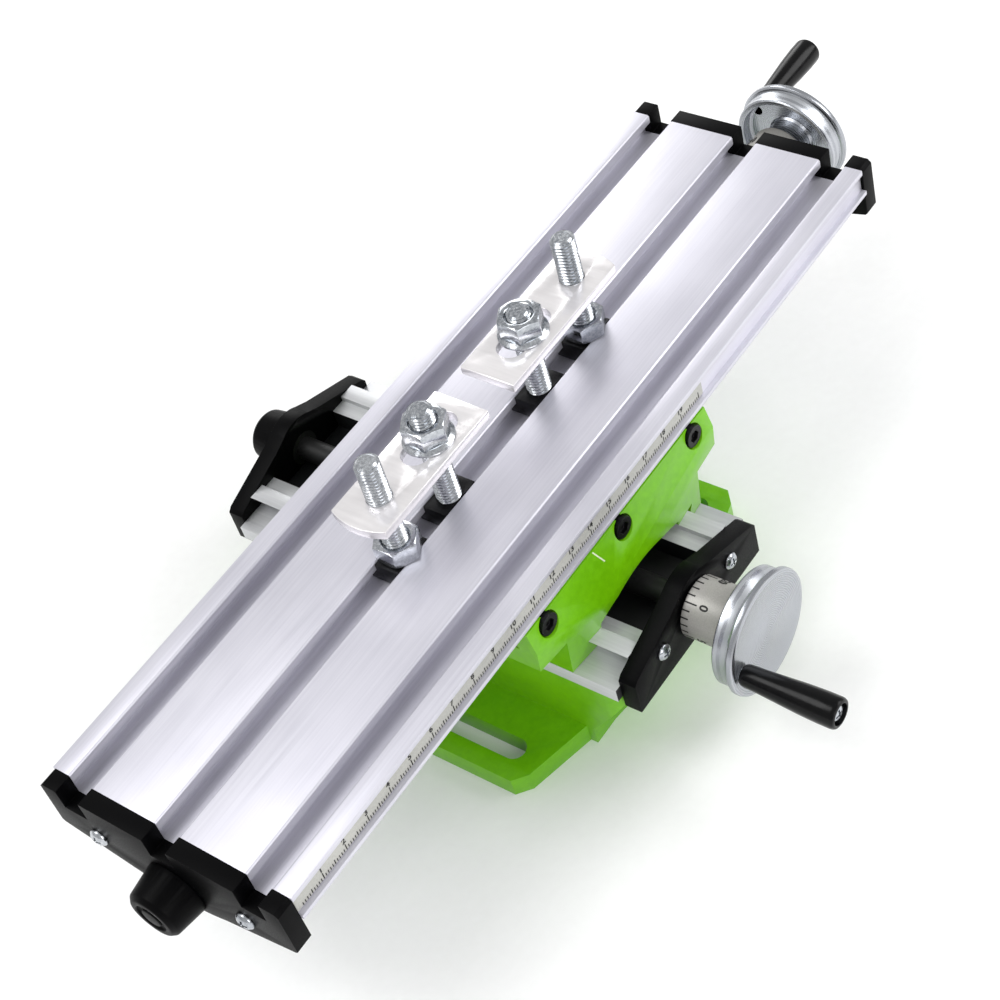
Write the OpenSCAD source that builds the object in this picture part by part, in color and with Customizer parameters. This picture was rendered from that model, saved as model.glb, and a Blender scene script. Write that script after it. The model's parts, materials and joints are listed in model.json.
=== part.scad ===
// Compound milling table: a T-slotted work table on a cross slide and a cast
// base, two leadscrews with handwheels, and two strap clamps on the table.
// Millimetres, +Z up. The origin is the middle of the base's underside,
// +X points to the table's handwheel, -Y to the cross slide's handwheel.

/* [Table] */
// Length of the table extrusion
table_len = 305; // [290:5:340]
// Width of the table top
table_w = 90; // [88:1:96]
// Height of the table top above the bench
table_top = 78.5; // [78.5:0.5:80]
// Distance between two T-slots
slot_pitch = 33.8; // [32:0.2:35]
// Width of a T-slot's neck
slot_neck = 9; // [8.6:0.1:9.4]
// Width of a T-slot's wide part
slot_wide = 14.6; // [14:0.1:15]

/* [Cross slide] */
// Length of the cross slide
slide_len = 151.2; // [145:0.2:170]
// Place of the table's middle line along the cross slide
table_y = -13.4; // [-16:0.2:-10]
// Half width of the slide, the base block and the saddle's lower block
block_half = 36.7; // [36:0.1:38]
// Height of the slide's underside
slide_foot = 30.6; // [28:0.1:31]

/* [Base] */
// Half width over the base's ears
ear_half = 64.6; // [62:0.2:70]
// Thickness of the ears
ear_t = 7.5; // [5:0.5:12]
// Width of a hold-down slot
foot_slot_w = 8; // [6:0.5:9]
// Length over one hold-down slot
foot_slot_len = 38; // [20:1:40]

/* [Handwheels] */
// Diameter of both handwheels
wheel_d = 40.6; // [38:0.2:42]
// Depth of a handwheel's rim
wheel_depth = 8; // [8:0.5:11]
// Diameter of the graduated dials
dial_d = 20; // [18:0.5:22]
// Length of a crank grip
grip_len = 32.5; // [24:0.5:36]

/* [Hidden] */
$fn = 64;

eps = 0.01;
slack = 0.1;                       // play between sliding faces
gap = 0.3;                         // free space between parts that pass each other
fit = 0.05;                        // radial play of a shaft in its hole

// Levels of the table
table_h = 19.2;
table_foot = table_top - table_h;
flange_under = table_top - 9.8;
slot_depth = 7.7;
slot_neck_depth = 3.2;
slot_mouth_chamfer = 0.5;
table_half = table_w / 2;
end_cap_t = 6;
lip_half = table_half + 0.9;

// Dovetails: the tail widens by this much for each unit of height
tail_slope = tan(30);
table_tail_root = 33;              // half width where the table's tail meets the flange
rail_tail_tip = 28.2;              // half width of the rail's strips

// Levels of the cross slide
rail_flange_t = 5.3;
rail_h = 11.5;
rail_top = slide_foot + rail_h;
channel_half = 22;
rail_channel_floor = slide_foot + 2.4;
rail_ledge_half = 16.5;            // half width between the ledges that take the plate screws
rail_ledge_top = rail_top - 1.9;
table_channel_roof = table_foot + 5.7;
end_plate_t = 6;
slide_end = slide_len / 2;

// Saddle
saddle_half = 48.8;
saddle_top = flange_under - 0.7;
saddle_step = 51.7;                // underside of the upper block's overhang
saddle_foot = slide_foot + rail_flange_t + gap;
way_floor = table_foot - slack;    // floor of the saddle's table way
rail_roof = rail_top + slack;      // roof of the saddle's rail way
gib_t = 2.5;
gib_room = (gib_t + slack + fit) / cos(30);
way_play = slack / cos(30);
arch_rise = 7.4;
arch_r = 45;

// Leadscrews
screw_r = 4;
x_axis_z = table_foot - 1.2;
y_axis_z = rail_top - 3.7;
bush_r = 6;

// Axial places measured outward from the outer face of the end cap or plate
x_face = table_len / 2 + end_cap_t;
y_face = slide_end + end_plate_t;
dial_start = 0.5;
dial_len = 14;
hub_start = dial_start + dial_len;
wheel_back = 17;
wheel_front = wheel_back + wheel_depth;
hub_r = 8;
wheel_rim_t = 2.4;
wheel_web_t = 3.4;
wheel_step = 1.4;                  // the lip at the front stands this far out of the rim
wheel_lip_t = 2.4;
wheel_skin_t = 2;                  // metal over the leadscrew's end
crank_r = 15.1;
x_crank_angle = 56;                // from straight up towards the rear
y_crank_angle = -96.3;            // from straight up, negative is towards -X
spindle_r = 2;
grip_root_r = 3.6;
grip_tip_r = 5;
grip_head_r = 3.2;

// Clamps
stud_r = 4;
nut_af = 13;
strap_t = 3;
strap_half = 10;
clamps = [
    // stud x, jack x, stud top, jack top, strap top, square end x, round end x
    ["a", -20.3, -44.9, 37, 39.3, 24.4, -4, -57.5],
    ["b", 28.3, 54.6, 31.9, 39.2, 22.9, 8.4, 66.5],
];

// ---- helpers ---------------------------------------------------------

function mirrored(half) =
    concat(half, [for (i = [len(half) - 1 : -1 : 0]) [-half[i][0], half[i][1]]]);

// Extrudes an outline drawn in Y and Z along X, from x0 to x1
module along_x(x0, x1) {
    translate([x0, 0, 0])
        rotate([90, 0, 90])
            linear_extrude(x1 - x0) children();
}

// Extrudes an outline drawn in X and Z along Y, from y0 to y1
module along_y(y0, y1) {
    translate([0, y1, 0])
        rotate([90, 0, 0])
            linear_extrude(y1 - y0) children();
}

module x_rod(x0, x1, r, y = table_y, z = x_axis_z, r_end = -1) {
    translate([x0, y, z])
        rotate([0, 90, 0])
            cylinder(h = x1 - x0, r1 = r, r2 = r_end < 0 ? r : r_end);
}

module y_rod(y0, y1, r, x = 0, z = y_axis_z, r_end = -1) {
    translate([x, y0, z])
        rotate([-90, 0, 0])
            cylinder(h = y1 - y0, r1 = r, r2 = r_end < 0 ? r : r_end);
}

module z_rod(z0, z1, r, x = 0, y = 0, r_end = -1) {
    translate([x, y, z0])
        cylinder(h = z1 - z0, r1 = r, r2 = r_end < 0 ? r : r_end);
}

// Stands its children, drawn with +Z outward, on the X leadscrew's axis
module on_x_axis(x) {
    translate([x, table_y, x_axis_z])
        rotate([0, 90, 0])
            rotate([0, 0, 90]) children();
}

// Stands its children, drawn with +Z outward, on the Y leadscrew's axis
module on_y_axis(y) {
    translate([0, y, y_axis_z])
        rotate([90, 0, 0]) children();
}

// Half width of the table's tail at height z
function table_tail(z) = table_tail_root + (flange_under - z) * tail_slope;

// Half width of the rail's tail at height z
function rail_tail(z) = rail_tail_tip - (rail_top - z) * tail_slope;

// Pan head screw with a cross recess, head up, seat at z = 0
module pan_screw(head_r, head_h, shank_r, shank_len) {
    difference() {
        union() {
            rotate_extrude()
                polygon([[0, 0], [head_r, 0], [head_r, head_h * 0.4], [head_r * 0.7, head_h * 0.85],
                         [head_r * 0.35, head_h], [0, head_h]]);
            translate([0, 0, -shank_len]) cylinder(h = shank_len + eps, r = shank_r);
        }
        for (turn = [0, 90])
            rotate(turn)
                translate([0, 0, head_h]) cube([head_r * 1.1, head_r * 0.24, head_h], center = true);
    }
}

// Socket head screw, head up, seat at z = 0
module cap_screw(head_r, head_h, shank_r, shank_len) {
    difference() {
        union() {
            cylinder(h = head_h, r = head_r);
            translate([0, 0, -shank_len]) cylinder(h = shank_len + eps, r = shank_r);
        }
        translate([0, 0, head_h * 0.45]) cylinder(h = head_h, r = head_r * 0.58, $fn = 6);
    }
}

// ---- base ------------------------------------------------------------

foot_slot_x = 54;
foot_slot_y = 28;
block_lean = 14;                   // how far the block's ends lean back towards its foot
block_end_h = 5;                   // height of the upright strip at the top of those ends
ear_front = [[0, 65], [26, 61.7], [60, 53], [ear_half, 49]];
rail_screw_x = 31;
rail_screw_y = 50;
rail_screw_seat = 16;

ear_back = [for (i = [len(ear_front) - 1 : -1 : 0]) [ear_front[i][0], -ear_front[i][1]]];

module base_outline() {
    polygon(mirrored(concat(ear_front, ear_back)));
}

module foot_slot() {
    reach = (foot_slot_len - foot_slot_w) / 2;
    for (end = [-1, 1]) translate([0, end * reach, -1]) cylinder(h = ear_t + 2, d = foot_slot_w);
    translate([-foot_slot_w / 2, -reach, -1]) cube([foot_slot_w, 2 * reach, ear_t + 2]);
}

module base_block() {
    intersection() {
        along_x(-block_half, block_half)
            polygon(mirrored([[0, slide_foot], [slide_end, slide_foot],
                              [slide_end, slide_foot - block_end_h],
                              [slide_end - block_lean, ear_t], [slide_end - block_lean, 0], [0, 0]]));
        linear_extrude(slide_foot) rounded_rectangle(block_half, slide_end, 7);
    }
}

module rounded_rectangle(half_x, half_y, r) {
    for (sx = [-1, 1], sy = [-1, 1]) translate([sx * (half_x - r), sy * (half_y - r)]) circle(r);
    square([2 * half_x, 2 * (half_y - r)], center = true);
    square([2 * (half_x - r), 2 * half_y], center = true);
}

module base_casting() color("yellowgreen") {
    difference() {
        union() {
            linear_extrude(ear_t) base_outline();
            base_block();
        }
        for (sx = [-1, 1], sy = [-1, 1]) {
            translate([sx * foot_slot_x, sy * foot_slot_y, 0]) foot_slot();
            z_rod(-1, rail_screw_seat, 4, sx * rail_screw_x, sy * rail_screw_y);
            z_rod(-1, slide_foot + 1, 2.1, sx * rail_screw_x, sy * rail_screw_y);
        }
    }
}

// ---- cross slide -----------------------------------------------------

plate_half = 34.4;
plate_foot = 26;
plate_shoulder = 39.3;
plate_hub_r = 12.9;
plate_screw_x = 19.2;
plate_screw_z = rail_ledge_top - 2.2;
boss_len = 11.5;
boss_r = 10;
boss_tip_r = 8.5;
lock_nut_room_r = 7.8;
lock_nut_room = 8;
lock_nut_t = 5;
small_screw_r = 1.5;
small_screw_head_r = 2.8;

module cross_slide_rail() color("silver")
    difference() {
        along_y(-slide_end, slide_end)
            polygon(mirrored([[0, rail_channel_floor], [rail_ledge_half, rail_channel_floor],
                              [rail_ledge_half, rail_ledge_top], [channel_half, rail_ledge_top],
                              [channel_half, rail_top], [rail_tail_tip, rail_top],
                              [rail_tail(slide_foot + rail_flange_t), slide_foot + rail_flange_t],
                              [block_half, slide_foot + rail_flange_t], [block_half, slide_foot],
                              [0, slide_foot]]));
        for (sx = [-1, 1], sy = [-1, 1])
            z_rod(slide_foot - 1, slide_foot + rail_flange_t - 0.8, 2, sx * rail_screw_x, sy * rail_screw_y);
        for (sx = [-1, 1], end = [-1, 1])
            y_rod(end > 0 ? slide_end - 12 : -slide_end - 1, end > 0 ? slide_end + 1 : -slide_end + 12,
                  small_screw_r, sx * plate_screw_x, plate_screw_z);
    }

module rail_screws() color("dimgray")
    for (sx = [-1, 1], sy = [-1, 1])
        translate([sx * rail_screw_x, sy * rail_screw_y, rail_screw_seat])
            rotate([180, 0, 0])
                cap_screw(3.5, 4, 2, slide_foot + rail_flange_t - 1.2 - rail_screw_seat);

module end_plate_outline() {
    polygon(mirrored([[0, 51], [5, 50.2], [12, 47], [plate_half - 1.5, plate_shoulder + 0.5],
                      [plate_half, plate_shoulder - 1], [plate_half, plate_foot], [0, plate_foot]]));
    translate([0, y_axis_z]) circle(plate_hub_r);
}

module end_plate(y0) color("#1c1d1f")
    difference() {
        along_y(y0, y0 + end_plate_t) end_plate_outline();
        y_rod(y0 - 1, y0 + end_plate_t + 1, bush_r);
        for (sx = [-1, 1])
            y_rod(y0 - 1, y0 + end_plate_t + 1, small_screw_r + 0.2, sx * plate_screw_x, plate_screw_z);
    }

module front_end_plate() end_plate(-y_face);
module rear_end_plate() end_plate(slide_end);

module end_plate_screws() color("silver")
    for (sx = [-1, 1], end = [-1, 1])
        translate([sx * plate_screw_x, end * y_face, plate_screw_z])
            rotate([-90 * end, 0, 0]) pan_screw(small_screw_head_r, 1.8, small_screw_r, 16);

module bush() {
    difference() {
        cylinder(h = end_plate_t, r = bush_r);
        translate([0, 0, -1]) cylinder(h = end_plate_t + 2, r = screw_r + fit);
    }
}

module y_screw_bushes() color("goldenrod") {
    on_y_axis(-slide_end) bush();
    on_y_axis(y_face) bush();
}

// Cover over a leadscrew's lock nut, drawn with its open end at z = 0
module bearing_cap() {
    difference() {
        union() {
            cylinder(h = boss_len - 1.5, r1 = boss_r, r2 = boss_tip_r + 0.2);
            translate([0, 0, boss_len - 1.5]) cylinder(h = 1.5, r1 = boss_tip_r + 0.2, r2 = boss_tip_r - 1.3);
        }
        translate([0, 0, -1]) cylinder(h = lock_nut_room + 1, r = lock_nut_room_r);
        translate([0, 0, boss_len - 0.8])
            difference() {
                cylinder(h = 1, r = 5.2);
                cylinder(h = 3, r = 3.4, center = true);
            }
    }
}

module rear_bearing_cap() color("#1c1d1f") translate([0, y_face, y_axis_z]) rotate([-90, 0, 0]) bearing_cap();

// ---- saddle ----------------------------------------------------------

face_top = 46;                     // how far before the table's middle the front face starts
face_lean = 14;                    // the face leans out towards the foot
crease_foot = 46.3;                // height at which the two creases meet
crease_rise = 16.3;                // angle at which they climb to the ends
crease_tilt = 20;                  // the facets below lean this much less than the face
crease_y = face_top + (saddle_top - crease_foot) * tan(face_lean);
saddle_front = [[face_top, saddle_top], [crease_y, crease_foot], [crease_y, saddle_foot]];
saddle_back = [[47.9, saddle_foot], [47.9, 57], [46, saddle_top]];
x_gib_screw_x = [-40, 0, 40];
x_gib_screw_z = saddle_top - 4;
x_gib_seat = 44.8;
y_gib_screw_y = [-32, 0, 32];
y_gib_screw_z = saddle_foot + 3.6;
gib_screw_r = 2;
gib_screw_head_r = 3.7;
gib_screw_head_h = 2.6;
trough_half = 12;
trough_floor = x_axis_z - 4.6;
x_nut_half = [12, 11.5];           // half sizes along X and Y
y_nut_half = [11, 9.5];
y_nut_y = table_y + 28.5;
y_nut_roof = rail_roof + arch_rise;
nut_screw_r = 1.5;
nut_screw_head_r = 2.75;
nut_screw_head_h = 3;
nut_screw_len = 10;
x_nut_screw_y = 7.8;
y_nut_screw_x = 7.5;
x_nut_top = x_axis_z + 5.2;
x_nut_seat = x_nut_top - nut_screw_head_h - 0.1;
y_nut_seat = y_nut_roof + 4.2;

module saddle_outline() {
    translate([table_y, 0])
        polygon(concat([for (p = saddle_front) [-p[0], p[1]]], saddle_back));
}

module saddle_body() {
    intersection() {
        along_x(-saddle_half, saddle_half) saddle_outline();
        union() {
            translate([-saddle_half, table_y - 60, saddle_step]) cube([2 * saddle_half, 120, 40]);
            linear_extrude(saddle_step + 1)
                translate([0, table_y - 1.2]) rounded_rectangle(block_half, 49.1, 1.5);
        }
    }
}

// The way that the table's tail runs in, with room for the gib at its front
module table_way() {
    over = saddle_top + 2;
    along_x(-saddle_half - 1, saddle_half + 1)
        translate([table_y, 0])
            polygon([[-table_tail(way_floor) - gib_room, way_floor],
                     [table_tail(way_floor) + way_play, way_floor],
                     [table_tail(over) + way_play, over], [-table_tail(over) - gib_room, over]]);
    along_x(-saddle_half - 1, saddle_half + 1)
        translate([table_y - trough_half, trough_floor]) square([2 * trough_half, 10]);
}

// The way that runs on the cross slide's tail, with room for the gib at +X
module rail_way() {
    under = saddle_foot - 2;
    along_y(table_y - 60, table_y + 60) {
        polygon([[-rail_tail(under) - way_play, under], [rail_tail(under) + gib_room, under],
                 [rail_tail(rail_roof) + gib_room, rail_roof],
                 [-rail_tail(rail_roof) - way_play, rail_roof]]);
        intersection() {
            translate([0, rail_roof + arch_rise - arch_r]) circle(arch_r, $fn = 200);
            translate([-channel_half, saddle_foot]) square([2 * channel_half, 20]);
        }
    }
    translate([-y_nut_half[0], y_nut_y - y_nut_half[1], saddle_foot])
        cube([2 * y_nut_half[0], 2 * y_nut_half[1], y_nut_roof - saddle_foot]);
}

// What the casting loses below the two creases that run down its front from its ends to the arch
module front_facets() {
    for (side = [0, 1])
        mirror([side, 0, 0])
            translate([0, table_y - crease_y, crease_foot])
                rotate([-face_lean, 0, 0]) rotate([crease_tilt, crease_rise, 0])
                    translate([-80, -20, -40]) cube([80, 20, 40]);
}

module saddle_casting() color("limegreen")
    difference() {
        saddle_body();
        front_facets();
        table_way();
        rail_way();
        for (x = x_gib_screw_x) {
            y_rod(table_y - 60, table_y - 30, gib_screw_r, x, x_gib_screw_z);
            y_rod(table_y - 60, table_y - x_gib_seat, gib_screw_head_r + 0.5, x, x_gib_screw_z);
        }
        for (y = y_gib_screw_y)
            x_rod(20, block_half + 1, gib_screw_r, table_y + y, y_gib_screw_z);
        for (side = [-1, 1]) {
            z_rod(x_nut_seat - nut_screw_len, trough_floor + 1, nut_screw_r,
                  0, table_y + side * x_nut_screw_y);
            z_rod(y_nut_roof - 1, way_floor + 1, nut_screw_r, side * y_nut_screw_x, y_nut_y);
            z_rod(y_nut_seat, way_floor + 1, nut_screw_head_r + 0.2, side * y_nut_screw_x, y_nut_y);
        }
    }

// Cross section of a gib that lies on a tail's side, between two heights
module gib_section(root, z_root, rise, z0, z1) {
    near = slack / cos(30);
    far = (slack + gib_t) / cos(30);
    a = root + (z_root - z0) * rise;
    b = root + (z_root - z1) * rise;
    polygon([[a + near, z0], [a + far, z0], [b + far, z1], [b + near, z1]]);
}

module x_gib() color("goldenrod")
    along_x(-saddle_half + 0.5, saddle_half - 0.5)
        translate([table_y, 0])
            mirror([1, 0])
                gib_section(table_tail_root, flange_under, tail_slope, way_floor + 0.1, saddle_top - 0.4);

module y_gib() color("goldenrod")
    along_y(table_y - 47, table_y + 47)
        gib_section(rail_tail_tip, rail_top, -tail_slope, saddle_foot + 0.3, rail_roof - 0.2);

module gib_screw(shank_len) cap_screw(gib_screw_head_r, gib_screw_head_h, gib_screw_r, shank_len);

module x_gib_screws() color("#222222")
    for (x = x_gib_screw_x)
        translate([x, table_y - x_gib_seat, x_gib_screw_z])
            rotate([90, 0, 0]) gib_screw(x_gib_seat - table_tail(x_gib_screw_z) - gib_room - 1.2);

module y_gib_screws() color("#222222")
    for (y = y_gib_screw_y)
        translate([block_half, table_y + y, y_gib_screw_z])
            rotate([0, 90, 0]) gib_screw(block_half - rail_tail(y_gib_screw_z) - gib_room - 1.2);

module x_feed_nut() color("peru")
    difference() {
        translate([-x_nut_half[0], table_y - x_nut_half[1], trough_floor])
            cube([2 * x_nut_half[0], 2 * x_nut_half[1], x_nut_top - trough_floor]);
        x_rod(-20, 20, screw_r + fit);
        for (side = [-1, 1]) {
            z_rod(trough_floor - 1, x_nut_top + 1, nut_screw_r, 0, table_y + side * x_nut_screw_y);
            z_rod(x_nut_seat, x_nut_top + 1, nut_screw_head_r + 0.2, 0, table_y + side * x_nut_screw_y);
        }
    }

module y_feed_nut() color("peru")
    difference() {
        translate([-y_nut_half[0], y_nut_y - y_nut_half[1], rail_channel_floor + 0.5])
            cube([2 * y_nut_half[0], 2 * y_nut_half[1], y_nut_roof - rail_channel_floor - 0.5]);
        y_rod(y_nut_y - 20, y_nut_y + 20, screw_r + fit);
        for (side = [-1, 1])
            z_rod(y_nut_seat - nut_screw_len, y_nut_roof + 1, nut_screw_r, side * y_nut_screw_x, y_nut_y);
    }

module nut_screw() cap_screw(nut_screw_head_r, nut_screw_head_h, nut_screw_r, nut_screw_len);

module feed_nut_screws() color("dimgray")
    for (side = [-1, 1]) {
        translate([0, table_y + side * x_nut_screw_y, x_nut_seat]) nut_screw();
        translate([side * y_nut_screw_x, y_nut_y, y_nut_seat]) nut_screw();
    }

// ---- table -----------------------------------------------------------

cap_half = 45.2;
cap_screw_head_r = 3.1;
cap_screw_r = 2;
cap_screw_len = 18;
cap_screw_y = 28;
cap_screw_z = table_top - 15.3;
cap_foot = 28.7;                   // depth of the end cap's middle under the table top
cap_knee = [16, 25.8];             // where its sloping edge meets the round middle
ruler_len = 204;
ruler_t = 0.3;

module t_slot() {
    translate([-slot_neck / 2, table_top - slot_depth + 1]) square([slot_neck, slot_depth]);
    translate([-slot_wide / 2, table_top - slot_depth]) square([slot_wide, slot_depth - slot_neck_depth]);
    wide = slot_neck / 2 + slot_mouth_chamfer;
    polygon([[-slot_neck / 2, table_top - slot_mouth_chamfer],
             [slot_neck / 2, table_top - slot_mouth_chamfer],
             [wide + eps, table_top + eps], [-wide - eps, table_top + eps]]);
}

module table_section() {
    difference() {
        polygon(mirrored([[0, table_top], [table_half, table_top], [table_half, table_top - 2],
                          [table_half - 1, table_top - 2], [table_half - 1, table_top - 8.2],
                          [lip_half, table_top - 8.2], [lip_half, flange_under],
                          [table_tail_root, flange_under], [table_tail(table_foot), table_foot],
                          [channel_half, table_foot], [channel_half, table_channel_roof],
                          [0, table_channel_roof]]));
        for (side = [-1, 0, 1]) translate([side * slot_pitch, 0]) t_slot();
    }
}

module table_extrusion() color("gainsboro")
    difference() {
        along_x(-table_len / 2, table_len / 2) translate([table_y, 0]) table_section();
        for (side = [-1, 1], end = [-1, 1])
            x_rod(end > 0 ? table_len / 2 - 14 : -table_len / 2 - 1,
                  end > 0 ? table_len / 2 + 1 : -table_len / 2 + 14,
                  cap_screw_r, table_y + side * cap_screw_y, cap_screw_z);
    }

module end_cap_outline() {
    sag = cap_foot - cap_knee[1];
    r = (cap_knee[0] * cap_knee[0] + sag * sag) / (2 * sag);
    a = asin(cap_knee[0] / r);
    steps = 6;
    notch = slot_neck / 2;
    floor_z = table_top - slot_depth;
    polygon(mirrored(concat(
        [[0, floor_z], [notch, floor_z], [notch, table_top], [slot_pitch - notch, table_top],
         [slot_pitch - notch, floor_z], [slot_pitch + notch, floor_z], [slot_pitch + notch, table_top],
         [table_half - 1.2, table_top], [table_half, table_top - 1.2], [cap_half, table_top - 18.5],
         [cap_half - 0.8, table_top - 19.4]],
        [for (i = [0 : steps])
            let (t = a * (1 - i / steps))
            [r * sin(t), table_top - cap_foot + r * (1 - cos(t))]])));
}

module end_cap(x0) color("#17181a")
    difference() {
        along_x(x0, x0 + end_cap_t) translate([table_y, 0]) end_cap_outline();
        x_rod(x0 - 1, x0 + end_cap_t + 1, bush_r);
        for (side = [-1, 1])
            x_rod(x0 - 1, x0 + end_cap_t + 1, 2.2, table_y + side * cap_screw_y, cap_screw_z);
    }

module near_end_cap() end_cap(-x_face);
module far_end_cap() end_cap(table_len / 2);

module end_cap_screws() color("silver")
    for (side = [-1, 1], end = [-1, 1])
        translate([end * x_face, table_y + side * cap_screw_y, cap_screw_z])
            rotate([0, 90 * end, 0]) pan_screw(cap_screw_head_r, 2, cap_screw_r, cap_screw_len);

module ruler_tape() color("whitesmoke")
    translate([-table_len / 2 + 0.3, table_y - table_half + 1 - ruler_t, table_top - 7.8])
        cube([ruler_len, ruler_t, 5.4]);

module x_screw_bushes() color("goldenrod") {
    on_x_axis(-x_face) bush();
    on_x_axis(table_len / 2) bush();
}

module near_bearing_cap() color("#17181a")
    translate([-x_face, table_y, x_axis_z]) rotate([0, -90, 0]) bearing_cap();

// ---- leadscrews and handwheels, drawn from the outer face outward ------

screw_end = wheel_front - wheel_skin_t - 0.4;
grip_start = wheel_front + gap;
grip_end = wheel_front + grip_len;
head_room = 2.4;

module dial() {
    difference() {
        translate([0, 0, dial_start]) cylinder(h = dial_len, r = dial_d / 2);
        translate([0, 0, -1]) cylinder(h = 40, r = screw_r);
    }
}

module handwheel(angle) {
    lip_r = wheel_d / 2;
    band_r = lip_r - wheel_step;
    step_z = wheel_front - wheel_lip_t;
    difference() {
        rotate_extrude()
            polygon([[screw_r, hub_start], [hub_r, hub_start], [hub_r, wheel_front - wheel_web_t],
                     [band_r - wheel_rim_t, wheel_front - wheel_web_t], [band_r - wheel_rim_t, wheel_back],
                     [band_r - 0.5, wheel_back], [band_r, wheel_back + 0.5], [band_r, step_z - 0.4],
                     [lip_r - 0.4, step_z], [lip_r, step_z + 0.4], [lip_r, wheel_front - 0.8],
                     [lip_r - 0.8, wheel_front], [0, wheel_front], [0, wheel_front - wheel_skin_t],
                     [screw_r, wheel_front - wheel_skin_t]]);
        at_crank(angle) translate([0, 0, wheel_front - 10]) cylinder(h = 20, r = spindle_r);
        rotate([-90, 0, 0])
            translate([0, -(wheel_back + 2), screw_r - 1]) cylinder(h = hub_r - screw_r + 2, r = 1.5);
    }
}

module grub_screw() {
    rotate([-90, 0, 0])
        translate([0, -(wheel_back + 2), screw_r])
            difference() {
                cylinder(h = hub_r - screw_r - 0.4, r = 1.5);
                translate([0, 0, 2]) cylinder(h = 4, r = 0.9, $fn = 6);
            }
}

module at_crank(angle) {
    translate([crank_r * sin(angle), crank_r * cos(angle), 0]) children();
}

module grip_spindle(angle) {
    at_crank(angle)
        translate([0, 0, grip_end - head_room])
            pan_screw(grip_head_r, 2, spindle_r, grip_end - head_room - wheel_front + wheel_web_t);
}

module crank_grip(angle) {
    at_crank(angle)
        rotate_extrude()
            polygon([[spindle_r + fit, grip_start], [grip_root_r - 0.6, grip_start],
                     [grip_root_r, grip_start + 0.8], [grip_root_r + 0.2, grip_start + 8],
                     [grip_tip_r, grip_end - 6], [grip_tip_r, grip_end - 1.2], [grip_tip_r - 1, grip_end],
                     [grip_head_r + 0.3, grip_end], [grip_head_r + 0.3, grip_end - head_room - 0.3],
                     [spindle_r + fit, grip_end - head_room - 0.3]]);
}

module lock_nut() {
    difference() {
        translate([0, 0, gap]) cylinder(h = lock_nut_t, r = nut_af / 2 / cos(30), $fn = 6);
        translate([0, 0, -1]) cylinder(h = 20, r = screw_r);
    }
}

module x_leadscrew() color("silver") x_rod(-x_face - lock_nut_room + 1, x_face + screw_end, screw_r);
module x_dial() color("lightgray") on_x_axis(x_face) dial();
module x_handwheel() color("silver") on_x_axis(x_face) handwheel(x_crank_angle);
module x_wheel_grub_screw() color("#222222") on_x_axis(x_face) grub_screw();
module x_lock_nut() color("silver") translate([-x_face, table_y, x_axis_z]) rotate([0, -90, 0]) lock_nut();
module x_grip_spindle() color("silver") on_x_axis(x_face) grip_spindle(x_crank_angle);
module x_grip() color("silver") on_x_axis(x_face) crank_grip(x_crank_angle);

module y_leadscrew() color("silver") y_rod(-y_face - screw_end, y_face + lock_nut_room - 1, screw_r);
module y_dial() color("lightgray") on_y_axis(-y_face) dial();
module y_handwheel() color("silver") on_y_axis(-y_face) handwheel(y_crank_angle);
module y_wheel_grub_screw() color("#222222") on_y_axis(-y_face) grub_screw();
module y_lock_nut() color("silver") translate([0, y_face, y_axis_z]) rotate([-90, 0, 0]) lock_nut();
module y_grip_spindle() color("silver") on_y_axis(-y_face) grip_spindle(y_crank_angle);
module y_grip() color("silver") on_y_axis(-y_face) crank_grip(y_crank_angle);

// ---- clamps ----------------------------------------------------------

t_nut_len = 15;
t_nut_half = 7;
t_nut_neck_half = 4.3;
t_nut_h = 3.8;
t_nut_lift = table_top - slot_neck_depth - slack;   // top of the nut's wide part
strap_slot_w = 9.4;
strap_slot_reach = 6.5;              // from the slot's middle to the middle of each round end
strap_end_r = 22;
nut_h = 6.5;
flange_h = 1.6;
flange_r = 8.2;

module hex_nut(h) {
    difference() {
        cylinder(h = h, r = nut_af / 2 / cos(30), $fn = 6);
        translate([0, 0, -1]) cylinder(h = h + 2, r = stud_r);
    }
}

module stud(x, top) {
    z_rod(t_nut_lift - t_nut_h, table_top + top, stud_r, x, table_y);
}

module t_nuts(c) {
    for (x = [c[1], c[2]])
        difference() {
            union() {
                translate([x - t_nut_len / 2, table_y - t_nut_half, t_nut_lift - t_nut_h])
                    cube([t_nut_len, 2 * t_nut_half, t_nut_h]);
                translate([x - t_nut_len / 2, table_y - t_nut_neck_half, t_nut_lift - 1])
                    cube([t_nut_len, 2 * t_nut_neck_half, table_top - 0.4 - t_nut_lift + 1]);
            }
            z_rod(t_nut_lift - 10, table_top + 1, stud_r, x, table_y);
        }
}

module strap(c) {
    end_x = c[7] - sign(c[7] - c[6]) * strap_end_r;
    difference() {
        translate([0, table_y, table_top + c[5] - strap_t])
            linear_extrude(strap_t)
                intersection() {
                    translate([min(c[6], c[7]), -strap_half]) square([abs(c[7] - c[6]), 2 * strap_half]);
                    union() {
                        translate([end_x, 0]) circle(strap_end_r, $fn = 120);
                        translate([min(c[6], end_x), -strap_end_r])
                            square([abs(end_x - c[6]), 2 * strap_end_r]);
                    }
                }
        z_rod(table_top, table_top + 60, stud_r, c[2], table_y);
        for (end = [-1, 1])
            z_rod(table_top, table_top + 60, strap_slot_w / 2, c[1] + end * strap_slot_reach, table_y);
        translate([c[1] - strap_slot_reach, table_y - strap_slot_w / 2, table_top])
            cube([2 * strap_slot_reach, strap_slot_w, 60]);
    }
}

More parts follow.
